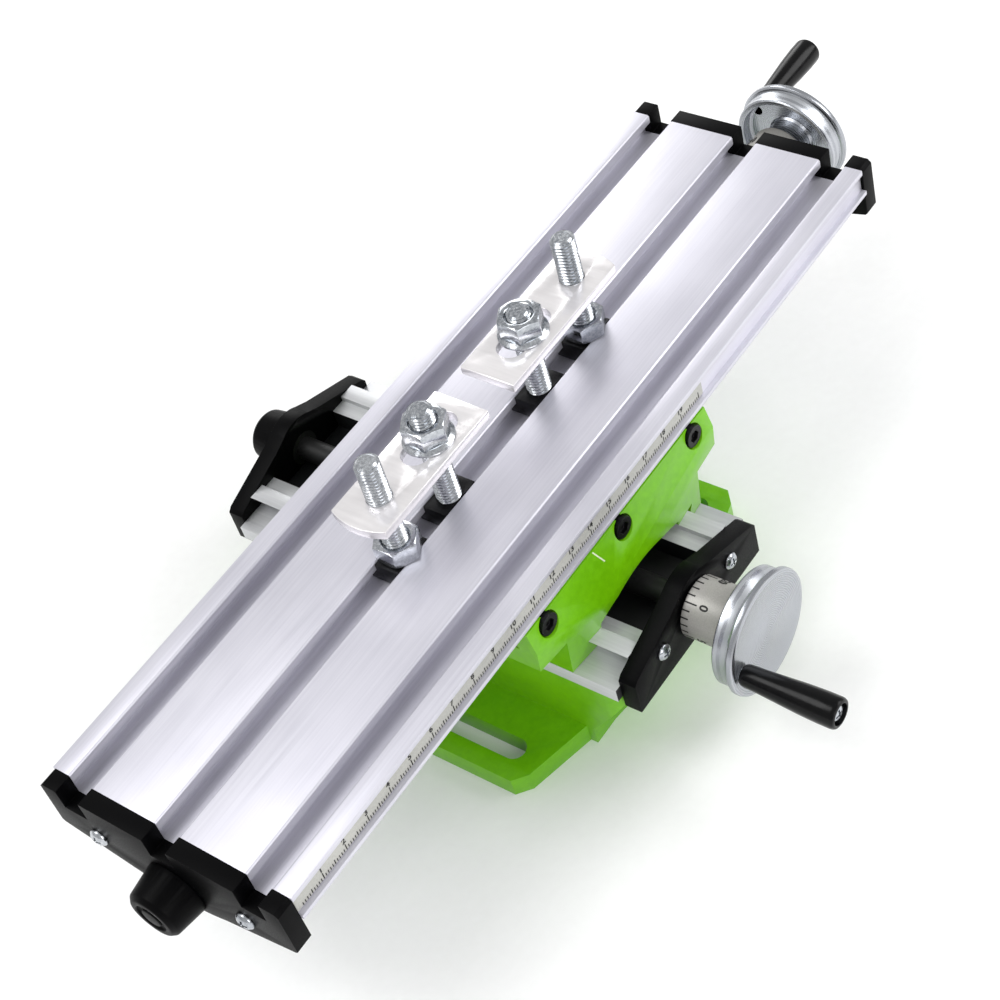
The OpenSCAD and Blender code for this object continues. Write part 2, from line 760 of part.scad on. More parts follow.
module flange_nut(c) {
    translate([c[1], table_y, table_top + c[5]])
        difference() {
            union() {
                cylinder(h = flange_h, r1 = flange_r, r2 = flange_r - 0.8);
                cylinder(h = flange_h + nut_h, r = nut_af / 2 / cos(30), $fn = 6);
            }
            translate([0, 0, -1]) cylinder(h = 20, r = stud_r);
        }
}

module jack_nut(c) {
    translate([c[2], table_y, table_top + slack]) hex_nut(nut_h);
}

module clamp_a_strap() color("silver") strap(clamps[0]);
module clamp_a_t_nuts() color("#222222") t_nuts(clamps[0]);
module clamp_a_stud() color("silver") stud(clamps[0][1], clamps[0][3]);
module clamp_a_flange_nut() color("silver") flange_nut(clamps[0]);
module clamp_a_jack_stud() color("silver") stud(clamps[0][2], clamps[0][4]);
module clamp_a_jack_nut() color("silver") jack_nut(clamps[0]);
module clamp_b_strap() color("silver") strap(clamps[1]);
module clamp_b_t_nuts() color("#222222") t_nuts(clamps[1]);
module clamp_b_stud() color("silver") stud(clamps[1][1], clamps[1][3]);
module clamp_b_flange_nut() color("silver") flange_nut(clamps[1]);
module clamp_b_jack_stud() color("silver") stud(clamps[1][2], clamps[1][4]);
module clamp_b_jack_nut() color("silver") jack_nut(clamps[1]);

base_casting();
cross_slide_rail();
rail_screws();
front_end_plate();
rear_end_plate();
end_plate_screws();
y_screw_bushes();
rear_bearing_cap();
saddle_casting();
x_gib();
y_gib();
x_gib_screws();
y_gib_screws();
x_feed_nut();
y_feed_nut();
feed_nut_screws();
table_extrusion();
near_end_cap();
far_end_cap();
end_cap_screws();
ruler_tape();
x_screw_bushes();
near_bearing_cap();
x_leadscrew();
x_dial();
x_handwheel();
x_wheel_grub_screw();
x_lock_nut();
x_grip_spindle();
x_grip();
y_leadscrew();
y_dial();
y_handwheel();
y_wheel_grub_screw();
y_lock_nut();
y_grip_spindle();
y_grip();
clamp_a_strap();
clamp_a_t_nuts();
clamp_a_stud();
clamp_a_flange_nut();
clamp_a_jack_stud();
clamp_a_jack_nut();
clamp_b_strap();
clamp_b_t_nuts();
clamp_b_stud();
clamp_b_flange_nut();
clamp_b_jack_stud();
clamp_b_jack_nut();
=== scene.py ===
"""Looks of a compound milling table: cast base and saddle, slotted table, handwheels and strap clamps.

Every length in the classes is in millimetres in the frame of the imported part; MM turns it to metres.
"""

import json
import logging
import math
from dataclasses import dataclass, field
from enum import Enum

import bpy
from mathutils import Matrix, Vector

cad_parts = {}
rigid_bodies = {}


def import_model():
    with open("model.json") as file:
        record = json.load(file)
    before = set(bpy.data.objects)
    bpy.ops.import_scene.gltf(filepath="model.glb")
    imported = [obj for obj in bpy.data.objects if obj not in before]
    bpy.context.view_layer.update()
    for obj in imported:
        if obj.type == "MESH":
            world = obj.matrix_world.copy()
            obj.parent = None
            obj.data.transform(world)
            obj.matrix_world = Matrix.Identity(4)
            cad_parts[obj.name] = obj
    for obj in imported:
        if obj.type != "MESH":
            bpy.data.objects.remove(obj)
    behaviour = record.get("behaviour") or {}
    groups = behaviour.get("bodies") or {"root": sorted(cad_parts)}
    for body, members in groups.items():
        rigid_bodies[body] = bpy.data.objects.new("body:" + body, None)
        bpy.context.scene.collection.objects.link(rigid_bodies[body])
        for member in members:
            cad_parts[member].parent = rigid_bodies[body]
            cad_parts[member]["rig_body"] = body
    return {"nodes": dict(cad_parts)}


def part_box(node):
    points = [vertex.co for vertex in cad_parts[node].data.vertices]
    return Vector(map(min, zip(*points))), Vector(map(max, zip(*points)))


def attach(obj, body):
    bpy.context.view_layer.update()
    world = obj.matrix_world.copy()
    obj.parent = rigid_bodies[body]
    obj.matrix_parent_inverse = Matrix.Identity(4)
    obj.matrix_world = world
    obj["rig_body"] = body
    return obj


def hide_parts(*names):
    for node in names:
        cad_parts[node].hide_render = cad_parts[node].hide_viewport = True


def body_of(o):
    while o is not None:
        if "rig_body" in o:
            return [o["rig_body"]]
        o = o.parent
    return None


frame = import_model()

LOG = logging.getLogger("milling_table")
MM = 0.001
SMOOTH_ANGLE = math.radians(32)
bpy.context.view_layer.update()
NODE_SLOT = {node: obj.data.materials[0].name for node, obj in frame["nodes"].items()}


class Way(Enum):
    """Direction that a turned piece points in, as the turn that takes +Z there."""

    UP = Matrix.Identity(4)
    RIGHT = Matrix(((0, 0, 1, 0), (1, 0, 0, 0), (0, 1, 0, 0), (0, 0, 0, 1)))
    NEAR = Matrix(((1, 0, 0, 0), (0, 0, -1, 0), (0, 1, 0, 0), (0, 0, 0, 1)))


class Body(Enum):
    """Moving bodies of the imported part."""

    BASE = "base"
    SADDLE = "saddle"
    TABLE = "table"
    X_SCREW = "x_screw"
    Y_SCREW = "y_screw"
    X_CRANK_GRIP = "x_crank_grip"
    Y_CRANK_GRIP = "y_crank_grip"
    CLAMP_A = "clamp_a"
    CLAMP_B = "clamp_b"


# ---- materials ---------------------------------------------------------------


def linear(hex_colour: str) -> tuple[float, float, float, float]:
    """Turns an sRGB hex colour into Blender's linear RGBA.

    Args:
        hex_colour: Colour such as "#52aa05".

    Returns:
        Linear red, green, blue and an alpha of 1.
    """
    parts = [int(hex_colour[i:i + 2], 16) / 255 for i in (1, 3, 5)]
    values = [p / 12.92 if p <= 0.04045 else ((p + 0.055) / 1.055) ** 2.4 for p in parts]
    return (values[0], values[1], values[2], 1.0)


def add_node(tree: bpy.types.NodeTree, kind: str, links: dict | None = None, values: dict | None = None,
             **settings: object) -> bpy.types.Node:
    """Adds a node with its settings, socket values and incoming links.

    Args:
        tree: Node tree that the node goes in.
        kind: Blender's type name of the node.
        links: Input name or number to the output socket that feeds it.
        values: Input name or number to its own value.
        **settings: Properties of the node.

    Returns:
        The new node.
    """
    node = tree.nodes.new(kind)
    for name, value in settings.items():
        setattr(node, name, value)
    for name, value in (values or {}).items():
        node.inputs[name].default_value = value
    for name, output in (links or {}).items():
        tree.links.new(output, node.inputs[name])
    return node


@dataclass(frozen=True)
class Finish:
    """A surface that varies from a dark to a light tone with a grain of a real size.

    The grain is noise; `stretch` above 1 draws it out along one axis, as a die or a brush does.
    """

    name: str
    light: str
    dark: str
    metallic: float
    roughness: float
    roughness_spread: float
    grain_mm: float
    stretch: tuple[float, float, float] = (1.0, 1.0, 1.0)
    bump_um: float = 10.0
    coat: float = 0.0
    coat_roughness: float = 0.05
    ior: float = 1.5
    specular: float = 0.5
    blotch_mm: float = 30.0

    def coordinates(self, tree: bpy.types.NodeTree) -> bpy.types.NodeSocket:
        """Returns the object's own coordinates in metres."""
        return add_node(tree, "ShaderNodeTexCoord").outputs["Object"]

    def grain(self, tree: bpy.types.NodeTree, where: bpy.types.NodeSocket) -> bpy.types.NodeSocket:
        """Builds the fine pattern.

        Args:
            tree: Material's node tree.
            where: Coordinates in metres.

        Returns:
            A factor from 0 to 1.
        """
        mapping = add_node(tree, "ShaderNodeMapping", {"Vector": where},
                           {"Scale": [1 / s for s in self.stretch]})
        noise = add_node(tree, "ShaderNodeTexNoise", {"Vector": mapping.outputs["Vector"]},
                         {"Scale": 1 / (self.grain_mm * MM), "Detail": 3.0, "Roughness": 0.6})
        return noise.outputs["Fac"]

    def material(self) -> bpy.types.Material:
        """Makes the material, or returns the one already made."""
        made = bpy.data.materials.get(self.name)
        if made:
            return made
        made = bpy.data.materials.new(self.name)
        made.use_nodes = True
        tree = made.node_tree
        tree.nodes.clear()
        where = self.coordinates(tree)
        grain = self.grain(tree, where)
        blotch = add_node(tree, "ShaderNodeTexNoise", {"Vector": where},
                          {"Scale": 1 / (self.blotch_mm * MM), "Detail": 2.0}).outputs["Fac"]
        both = add_node(tree, "ShaderNodeMath", {0: grain, 1: blotch}, operation="ADD")
        half = add_node(tree, "ShaderNodeMapRange", {"Value": both.outputs[0]},
                        {"From Min": 0.7, "From Max": 1.3})
        colour = add_node(tree, "ShaderNodeMix", {"Factor": half.outputs[0]}, data_type="RGBA")
        colour.inputs[6].default_value = linear(self.dark)
        colour.inputs[7].default_value = linear(self.light)
        rough = add_node(tree, "ShaderNodeMapRange", {"Value": grain},
                         {"From Min": 0.3, "From Max": 0.7,
                          "To Min": self.roughness - self.roughness_spread,
                          "To Max": self.roughness + self.roughness_spread})
        bump = add_node(tree, "ShaderNodeBump", {"Height": grain},
                        {"Strength": 0.6, "Distance": self.bump_um * 1e-6})
        shader = add_node(tree, "ShaderNodeBsdfPrincipled",
                          {"Base Color": colour.outputs[2], "Roughness": rough.outputs[0],
                           "Normal": bump.outputs[0]},
                          {"Metallic": self.metallic, "IOR": self.ior, "Coat Weight": self.coat,
                           "Coat Roughness": self.coat_roughness,
                           "Specular IOR Level": self.specular})
        add_node(tree, "ShaderNodeOutputMaterial", {"Surface": shader.outputs[0]})
        return made


@dataclass(frozen=True)
class TurnedFinish(Finish):
    """A lathe-turned metal: the tool leaves fine rings about the axis through `centre`."""

    centre: tuple[float, float, float] = (0.0, 0.0, 0.0)
    ring_mm: float = 0.5
    axis: str = "X"

    def grain(self, tree: bpy.types.NodeTree, where: bpy.types.NodeSocket) -> bpy.types.NodeSocket:
        """Builds rings about the piece's own axis, broken up a little by noise.

        Args:
            tree: Material's node tree.
            where: Coordinates in metres.

        Returns:
            A factor from 0 to 1.
        """
        moved = add_node(tree, "ShaderNodeMapping", {"Vector": where},
                         {"Location": [-c * MM for c in self.centre]})
        # the wave's own scale of 1 holds about 3.2 rings per unit of distance
        rings = add_node(tree, "ShaderNodeTexWave", {"Vector": moved.outputs["Vector"]},
                         {"Scale": 1 / (3.2 * self.ring_mm * MM), "Distortion": 0.6, "Detail": 2.0},
                         wave_type="RINGS", rings_direction="SPHERICAL")
        return rings.outputs["Fac"]

    def material(self) -> bpy.types.Material:
        """Adds the sheen that turning marks draw out across themselves."""
        made = super().material()
        tree = made.node_tree
        shader = next(node for node in tree.nodes if node.type == "BSDF_PRINCIPLED")
        if not shader.inputs["Tangent"].is_linked:
            shader.inputs["Anisotropic"].default_value = 0.65
            tangent = add_node(tree, "ShaderNodeTangent", direction_type="RADIAL", axis=self.axis)
            tree.links.new(tangent.outputs[0], shader.inputs["Tangent"])
        return made


# Iron casting, filled and sprayed with gloss enamel: orange peel of about 2 mm under a wet-looking coat
GREEN_ENAMEL = Finish("green_gloss_enamel", "#72ba03", "#63a902", 0.0, 0.34, 0.04, 2.2, bump_um=6,
                      coat=0.25, coat_roughness=0.12, ior=1.4)
# Extruded aluminium, satin anodised: faint die lines along the table, drawn coarser than they are to show
TABLE_ALUMINIUM = Finish("satin_anodised_aluminium", "#d8d7e0", "#cac9d3", 0.5, 0.4, 0.05, 0.8,
                         stretch=(60.0, 1.0, 1.0), bump_um=4)
# The same extrusion with its die lines along the cross slide
RAIL_ALUMINIUM = Finish("satin_anodised_rail", "#d6d7d9", "#c6c7ca", 0.5, 0.4, 0.06, 0.8,
                        stretch=(1.0, 60.0, 1.0), bump_um=4)
# Channel of the rail: painted shade, coloured nearly black for the shadow inside the channel
CHANNEL_PAINTED_SHADE = Finish("painted_shade_channel", "#16171a", "#0b0c0e", 0.1, 0.5, 0.1, 1.5)
# Injection-moulded glass-filled nylon: near black with a fine spark-eroded texture
BLACK_NYLON = Finish("moulded_black_nylon", "#050506", "#020203", 0.0, 0.42, 0.06, 0.5, bump_um=10,
                     ior=1.45, specular=0.07)
# Moulded phenolic, polished in the mould: smooth glossy black of the crank grips
BLACK_PHENOLIC = Finish("polished_black_phenolic", "#060607", "#030304", 0.0, 0.22, 0.05, 3.0, bump_um=4,
                        specular=0.18)
# Die-sunk polished aluminium rim of the handwheels
WHEEL_X = TurnedFinish("turned_aluminium_x_wheel", "#bdc0c5", "#a9acb2", 1.0, 0.27, 0.04, 0.5, bump_um=1.5,
                       centre=(183.5, -13.4, 58.1), ring_mm=0.7)
WHEEL_Y = TurnedFinish("turned_aluminium_y_wheel", "#bdc0c5", "#a9acb2", 1.0, 0.27, 0.04, 0.5, bump_um=1.5,
                       centre=(0.0, -106.6, 38.4), ring_mm=0.7, axis="Y")
# Satin chromed dial: pale, a little grainy
DIAL_CHROME = Finish("satin_chromed_dial", "#b9b7b2", "#9a9894", 0.35, 0.42, 0.06, 0.35, bump_um=6)
# Filled ink of engraved marks
BLACK_INK = Finish("filled_black_ink", "#1a1a1a", "#0c0c0c", 0.0, 0.55, 0.08, 0.4)
# Painted line cast in the saddle
PALE_INK = Finish("pale_index_paint", "#e9efd8", "#cfd8b4", 0.0, 0.5, 0.06, 0.4)
# Printed steel tape with a grey-cream enamel
RULER_ENAMEL = Finish("grey_ruler_enamel", "#b9b9b3", "#a0a09b", 0.0, 0.4, 0.08, 0.5, bump_um=5)
# Hardened strap steel, polished and bright with a faint warm cast
STRAP_STEEL = Finish("polished_strap_steel", "#fcf9fa", "#f0edee", 0.6, 0.2, 0.06, 1.2,
                     stretch=(1.0, 12.0, 1.0), bump_um=3)
# Bright zinc plate on steel: slightly blue, cloudy at the millimetre scale
ZINC_PLATE = Finish("bright_zinc_plate", "#d2d5d9", "#8f949b", 1.0, 0.2, 0.07, 0.9, bump_um=5)
# Oil-blackened steel of hidden screws and T-nuts
BLACK_OXIDE = Finish("oil_blackened_steel", "#2a2a2c", "#141415", 0.8, 0.38, 0.08, 0.7)
# Cast leaded bronze of nuts, gibs and bushes
BRONZE = Finish("cast_bronze", "#b98a4a", "#8d6330", 1.0, 0.34, 0.08, 0.9)

# Painted shade: the Y leadscrew and its bronze bushes are coloured near black for the shadow they sit in
# inside the rail
PAINTED_SHADE_STEEL = Finish("painted_shade_steel", "#1c1c1d", "#0c0c0c", 0.3, 0.5, 0.08, 0.8)

NODE_FINISH = {"y_leadscrew": PAINTED_SHADE_STEEL, "y_screw_bushes": PAINTED_SHADE_STEEL, "cross_slide_rail": RAIL_ALUMINIUM,
               "y_handwheel": WHEEL_Y, "x_grip": BLACK_PHENOLIC, "y_grip": BLACK_PHENOLIC}
SLOT_FINISH = {"green_enamel": GREEN_ENAMEL, "satin_aluminium": TABLE_ALUMINIUM,
               "black_plastic": BLACK_NYLON, "turned_aluminium": WHEEL_X,
               "dial_aluminium": DIAL_CHROME, "ruler_enamel": RULER_ENAMEL, "bronze": BRONZE,
               "black_oxide_steel": BLACK_OXIDE, "plated_steel": ZINC_PLATE,
               "polished_steel": STRAP_STEEL}


# ---- making pieces -----------------------------------------------------------


def deselect() -> None:
    """Deselects every object."""
    bpy.ops.object.select_all(action="DESELECT")


def only(obj: bpy.types.Object) -> bpy.types.Object:
    """Makes one object the selected and active one and returns it."""
    deselect()
    obj.select_set(True)
    bpy.context.view_layer.objects.active = obj
    return obj


def edit(obj: bpy.types.Object, select: str = "SELECT") -> None:
    """Opens an object in edit mode with everything selected or deselected."""
    only(obj)
    bpy.ops.object.mode_set(mode="EDIT")
    bpy.ops.mesh.select_all(action=select)


def leave() -> None:
    """Goes back to object mode."""
    bpy.ops.object.mode_set(mode="OBJECT")


def settle(obj: bpy.types.Object) -> None:
    """Puts the object's place, turn and scale into its mesh."""
    only(obj)
    bpy.ops.object.transform_apply(location=True, rotation=True, scale=True)


def rounded(obj: bpy.types.Object, width_mm: float, segments: int = 2, angle: float = 30) -> None:
    """Rounds the sharp edges and shades the rest smooth.

    Args:
        obj: Piece to finish.
        width_mm: Width of the rounding.
        segments: Faces across the rounding.
        angle: Edges sharper than this many degrees are rounded.
    """
    only(obj)
    bevel = obj.modifiers.new("rounding", "BEVEL")
    bevel.width = width_mm * MM
    bevel.segments = segments
    bevel.limit_method = "ANGLE"
    bevel.angle_limit = math.radians(angle)
    bevel.use_clamp_overlap = True
    bevel.harden_normals = False
    bpy.ops.object.modifier_apply(modifier=bevel.name)
    bpy.ops.object.shade_smooth_by_angle(angle=SMOOTH_ANGLE)


def finished(obj: bpy.types.Object, name: str, body: Body, finish: Finish, slot: str,
             *replaced: str) -> bpy.types.Object:
    """Names, dresses and places a finished piece in the part.

    Args:
        obj: The piece, with its place in its mesh.
        name: Name of the piece.
        body: Body that it moves with.
        finish: Its surface.
        slot: The record's material slot; not used.
        *replaced: Nodes that it stands for.

    Returns:
        The piece.
    """
    obj.name = name
    obj.data.name = name
    if not obj.data.materials:
        obj.data.materials.append(finish.material())
    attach(obj, body.value)
    if replaced:
        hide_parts(*replaced)
    LOG.info("%s: %d faces on %s", name, len(obj.data.polygons), body.value)
    return obj


def copied(node: str, name: str) -> bpy.types.Object:
    """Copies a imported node's mesh, merges it and joins its flat faces.

    Args:
        node: Node to copy.
        name: Name of the copy.

    Returns:
        A new object with a clean mesh of its own.
    """
    mesh = frame["nodes"][node].data.copy()
    mesh.materials.clear()
    obj = bpy.data.objects.new(name, mesh)
    bpy.context.scene.collection.objects.link(obj)
    edit(obj)
    bpy.ops.mesh.remove_doubles(threshold=0.004 * MM)
    bpy.ops.mesh.dissolve_limited(angle_limit=math.radians(1.0))
    leave()
    if obj.data.has_custom_normals:
        bpy.ops.mesh.customdata_custom_splitnormals_clear()
    return obj


def softened(node: str, width_mm: float, finish: Finish, segments: int = 2) -> bpy.types.Object:
    """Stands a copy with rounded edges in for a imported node.

    Args:
        node: Node to stand for.
        width_mm: Width of the rounding.
        finish: Its surface.
        segments: Faces across the rounding.

    Returns:
        The new piece.
    """
    source = frame["nodes"][node]
    body = Body(body_of(source)[0])
    piece = copied(node, node + "_finished")
    rounded(piece, width_mm, segments)
    return finished(piece, node + "_finished", body, finish, NODE_SLOT[node], node)


def turned(profile: list[tuple[float, float]], place: Vector, way: Way, sides: int = 96) -> bpy.types.Object:
    """Turns a closed piece on a lathe: a disc is extruded and scaled from step to step.

    Args:
        profile: Radius and height of each step in mm, from the first closed end to the last.
        place: Foot of the axis in mm.
        way: Direction of the axis.
        sides: Faces round the piece.

    Returns:
        The piece, with its place in its mesh.
    """
    radius, height = profile[0]
    bpy.ops.mesh.primitive_circle_add(vertices=sides, radius=radius * MM, fill_type="NGON",
                                      location=(0, 0, height * MM))
    obj = only(bpy.context.object)
    settle(obj)
    edit(obj)
    for radius_next, height_next in profile[1:]:
        bpy.ops.mesh.extrude_region_move(
            TRANSFORM_OT_translate={"value": (0, 0, (height_next - height) * MM)})
        ratio = radius_next / radius
        bpy.ops.transform.resize(value=(ratio, ratio, 1), center_override=(0, 0, 0))
        radius, height = radius_next, height_next
    bpy.ops.mesh.select_all(action="SELECT")
    bpy.ops.mesh.normals_make_consistent(inside=False)
    leave()
    obj.matrix_world = Matrix.Translation(place * MM) @ way.value
    settle(obj)
    return obj


def joined(objs: list[bpy.types.Object]) -> bpy.types.Object:
    """Joins pieces into the first one and returns it."""
    deselect()
    for obj in objs:
        obj.select_set(True)
    bpy.context.view_layer.objects.active = objs[0]
    bpy.ops.object.join()
    return objs[0]


def slab(low: tuple[float, float, float], high: tuple[float, float, float]) -> bpy.types.Object:
    """Adds a box between two corners in mm, with its place in its mesh."""
    size = [(b - a) * MM for a, b in zip(low, high)]
    middle = [(a + b) / 2 * MM for a, b in zip(low, high)]
    bpy.ops.mesh.primitive_cube_add(size=1, location=middle)
    obj = only(bpy.context.object)
    obj.scale = size
    settle(obj)
    return obj


def repeated(obj: bpy.types.Object, count: int, step_mm: tuple[float, float, float]) -> bpy.types.Object:
    """Repeats a piece in a row.

    Args:
        obj: Piece to repeat.
        count: How many there are in all.
        step_mm: From one to the next.

    Returns:
        The same object with the row in its mesh.
    """
    only(obj)
    row = obj.modifiers.new("row", "ARRAY")
    row.count = count
    row.use_relative_offset = False
    row.use_constant_offset = True
    row.constant_offset_displace = [s * MM for s in step_mm]
    bpy.ops.object.modifier_apply(modifier=row.name)
    return obj


def lettering(text: str, height_mm: float, depth_mm: float, turn: Matrix,
              bold_mm: float = 0.0) -> bpy.types.Object:
    """Makes generic numerals as a thin solid.

    Args:
        text: Numerals to write.
        height_mm: Size of the type.
        depth_mm: Thickness of the print.
        turn: Where the middle of the text stands and how it is turned.
        bold_mm: How much each stroke grows on either side.

    Returns:
        A mesh object with its place in its mesh.
    """
    deselect()
    bpy.ops.object.text_add()
    obj = only(bpy.context.object)
    obj.data.body = text
    obj.data.size = height_mm * MM
    obj.data.extrude = depth_mm / 2 * MM
    obj.data.offset = bold_mm * MM
    obj.data.align_x = "CENTER"
    obj.data.align_y = "CENTER"
    obj.data.resolution_u = 3
    bpy.ops.object.convert(target="MESH")
    obj = only(bpy.context.object)
    obj.matrix_world = turn
    settle(obj)
    edit(obj)
    bpy.ops.mesh.remove_doubles(threshold=0.001 * MM)
    bpy.ops.mesh.normals_make_consistent(inside=False)
    leave()
    return obj


def threaded(radius: float, pitch: float, low: float, high: float, place: Vector, way: Way,
             steps: int = 24) -> bpy.types.Object:
    """Cuts a rod with a real helical thread, cut off flat at both ends.

    Args:
        radius: Outer radius in mm.
        pitch: Rise of one turn in mm.
        low: Height of the foot in mm.
        high: Height of the top in mm.
        place: Foot of the axis in mm.
        way: Direction of the axis.
        steps: Faces in one turn.

    Returns:
        The rod, with its place in its mesh.
    """
    depth = 0.54 * pitch
    turns = math.ceil((high - low) / pitch) + 2
    start = low - pitch
    mesh = bpy.data.meshes.new("thread")
    points = [(radius - depth, start), (radius, start + 0.42 * pitch), (radius, start + 0.58 * pitch),
              (radius - depth, start + pitch)]
    mesh.from_pydata([(r * MM, 0, z * MM) for r, z in points], [(0, 1), (1, 2), (2, 3)], [])
    obj = bpy.data.objects.new("thread", mesh)
    bpy.context.scene.collection.objects.link(obj)
    only(obj)
    screw = obj.modifiers.new("helix", "SCREW")
    screw.axis = "Z"
    screw.angle = 2 * math.pi
    screw.screw_offset = pitch * MM
    screw.iterations = turns
    screw.steps = steps
    screw.render_steps = steps
    screw.use_merge_vertices = True
    screw.merge_threshold = 0.002 * MM
    bpy.ops.object.modifier_apply(modifier=screw.name)
    edit(obj)
    bpy.ops.mesh.remove_doubles(threshold=0.002 * MM)
    for height, normal in ((low, (0, 0, -1)), (high, (0, 0, 1))):
        bpy.ops.mesh.select_all(action="SELECT")
        bpy.ops.mesh.bisect(plane_co=(0, 0, height * MM), plane_no=normal, use_fill=True,
                            clear_outer=True)
    bpy.ops.mesh.select_all(action="SELECT")
    bpy.ops.mesh.normals_make_consistent(inside=False)
    leave()
    only(obj)
    bpy.ops.object.shade_smooth_by_angle(angle=SMOOTH_ANGLE)
    obj.matrix_world = Matrix.Translation(place * MM) @ way.value
    settle(obj)
    return obj


def hexagon(across_flats: float, low: float, high: float, bore: float, place: Vector) -> bpy.types.Object:
    """Forges a hexagon nut with both faces chamfered and its bore countersunk.

    Args:
        across_flats: Width over the flats in mm.
        low: Height of the seat in mm.
        high: Height of the top in mm.
        bore: Radius of the bore in mm.
        place: Foot of the axis in mm.

    Returns:
        The nut, with its place in its mesh.
    """
    corner = across_flats / 2 / math.cos(math.pi / 6)
    chamfer = (corner - across_flats / 2) * 0.58
    flat = across_flats / 2 * 0.97
    bpy.ops.mesh.primitive_cylinder_add(vertices=6, radius=corner * MM, depth=(high - low) * MM,
                                        location=(0, 0, (low + high) / 2 * MM))
    nut = only(bpy.context.object)
    settle(nut)
    cutters = [turned([(flat, low), (corner + 0.3, low + chamfer * 1.4),
                       (corner + 0.3, high - chamfer * 1.4), (flat, high)],
                      Vector((0, 0, 0)), Way.UP),
               turned([(bore + 0.8, low - 0.05), (bore, low + 0.8), (bore, high - 0.8),
                       (bore + 0.8, high + 0.05)], Vector((0, 0, 0)), Way.UP, 48)]
    for cutter, operation in zip(cutters, ("INTERSECT", "DIFFERENCE")):
        only(nut)
        cut = nut.modifiers.new("cut", "BOOLEAN")
        cut.operation = operation
        cut.solver = "EXACT"
        cut.object = cutter
        bpy.ops.object.modifier_apply(modifier=cut.name)
        bpy.data.objects.remove(cutter)
    rounded(nut, 0.12, 1)
    nut.matrix_world = Matrix.Translation(place * MM)
    settle(nut)
    return nut


def dress(node: str, finish: Finish) -> None:
    """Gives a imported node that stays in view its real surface."""
    materials = frame["nodes"][node].data.materials
    for i in range(len(materials)):
        materials[i] = finish.material()


# ---- sub-assemblies ----------------------------------------------------------


@dataclass
class Base:
    """Cast base with its aluminium cross slide, end plates and their screws."""

    casting_round: float = 0.9
    rail_round: float = 0.3
    plate_round: float = 0.45
    channel_half: float = 22.3
    channel_top: float = 40.0

    def build(self) -> None:
        """Makes the base's pieces."""
        softened("base_casting", self.casting_round, GREEN_ENAMEL, 3)
        rail = softened("cross_slide_rail", self.rail_round, RAIL_ALUMINIUM)
        self.darken_channel(rail)
        for node in ("front_end_plate", "rear_end_plate", "rear_bearing_cap"):
            softened(node, self.plate_round, BLACK_NYLON, 3)
        softened("end_plate_screws", 0.15, ZINC_PLATE, 1)

    def darken_channel(self, rail: bpy.types.Object) -> None:
        """Paints shade on the faces inside the rail's channel: they get a near-black material for the shadow
        there.

        Args:
            rail: The finished rail.
        """
        rail.data.materials.append(CHANNEL_PAINTED_SHADE.material())
        for face in rail.data.polygons:
            middle = face.center / MM
            inside = abs(middle.x) < self.channel_half and middle.z < self.channel_top
            if inside and middle.z > 32:
                # painted shade: near-black material on the faces inside the channel
                face.material_index = 1


@dataclass
class Saddle:
    """Cast saddle between the two ways, with its gib screws and index line."""

    casting_round: float = 0.7
    line_x: tuple[float, float] = (-14.4, -11.9)
    line_z: tuple[float, float] = (61.6, 67.6)
    line_wide: float = 0.5
    line_proud: float = 0.06
    face_y: float = -59.4
    face_lean: float = 14.0

    def build(self) -> None:
        """Makes the saddle's pieces."""
        softened("saddle_casting", self.casting_round, GREEN_ENAMEL, 3)
        for node in ("x_gib_screws", "y_gib_screws"):
            softened(node, 0.12, BLACK_OXIDE, 1)
        self.index_line()

    def index_line(self) -> None:
        """Paints the slanted index line on the saddle's front face."""
        line = slab((-self.line_wide / 2, -self.line_proud, self.line_z[0]),
                    (self.line_wide / 2, 0.3, self.line_z[1]))
        lean = (self.line_x[0] - self.line_x[1]) / (self.line_z[1] - self.line_z[0])
        face_top = Vector(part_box("saddle_casting")[1]).z / MM
        out = math.tan(math.radians(self.face_lean))
        for vertex in line.data.vertices:
            rise = vertex.co.z - self.line_z[0] * MM
            vertex.co.x += self.line_x[1] * MM + lean * rise
            vertex.co.y += self.face_y * MM - out * (face_top * MM - vertex.co.z)
        finished(line, "saddle_index_line", Body.SADDLE, PALE_INK, "green_enamel")


@dataclass
class Table:
    """Slotted table with its end caps, screws and printed rule."""

    table_round: float = 0.3
    cap_round: float = 0.5
    print_depth: float = 0.06
    tick_width: float = 0.3
    numeral_drop: float = 1.45
    numerals: float = 2.9
    bold: float = 0.08
    tick_heights: dict[int, float] = field(default_factory=lambda: {1: 1.3, 5: 1.9, 10: 2.6})

    def build(self) -> None:
        """Makes the table's pieces."""
        softened("table_extrusion", self.table_round, TABLE_ALUMINIUM)
        for node in ("near_end_cap", "far_end_cap", "near_bearing_cap"):
            softened(node, self.cap_round, BLACK_NYLON, 3)
        softened("end_cap_screws", 0.15, ZINC_PLATE, 1)
        softened("ruler_tape", 0.08, RULER_ENAMEL, 1)
        self.rule()

    def rule(self) -> None:
        """Prints millimetre marks and centimetre numbers on the tape."""
        low, high = (Vector(corner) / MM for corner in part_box("ruler_tape"))
        front = low.y
        marks = []
        for every, height in self.tick_heights.items():
            count = int((high.x - low.x - 3) // every)
            tick = slab((low.x + every + 1.5 - self.tick_width / 2, front - self.print_depth, low.z + 0.1),
                        (low.x + every + 1.5 + self.tick_width / 2, front + self.print_depth, low.z + height))
            marks.append(repeated(tick, count, (every, 0, 0)))
        for centimetre in range(1, int((high.x - low.x) // 10)):
            x = low.x + 1.5 + 10 * centimetre
            place = Matrix.Translation(Vector((x, front, high.z - self.numeral_drop)) * MM)
            turn = place @ Matrix.Rotation(math.pi / 2, 4, "X")
            marks.append(lettering(str(centimetre), self.numerals, 2 * self.print_depth, turn, self.bold))
        finished(joined(marks), "ruler_marks", Body.TABLE, BLACK_INK, "ruler_enamel")


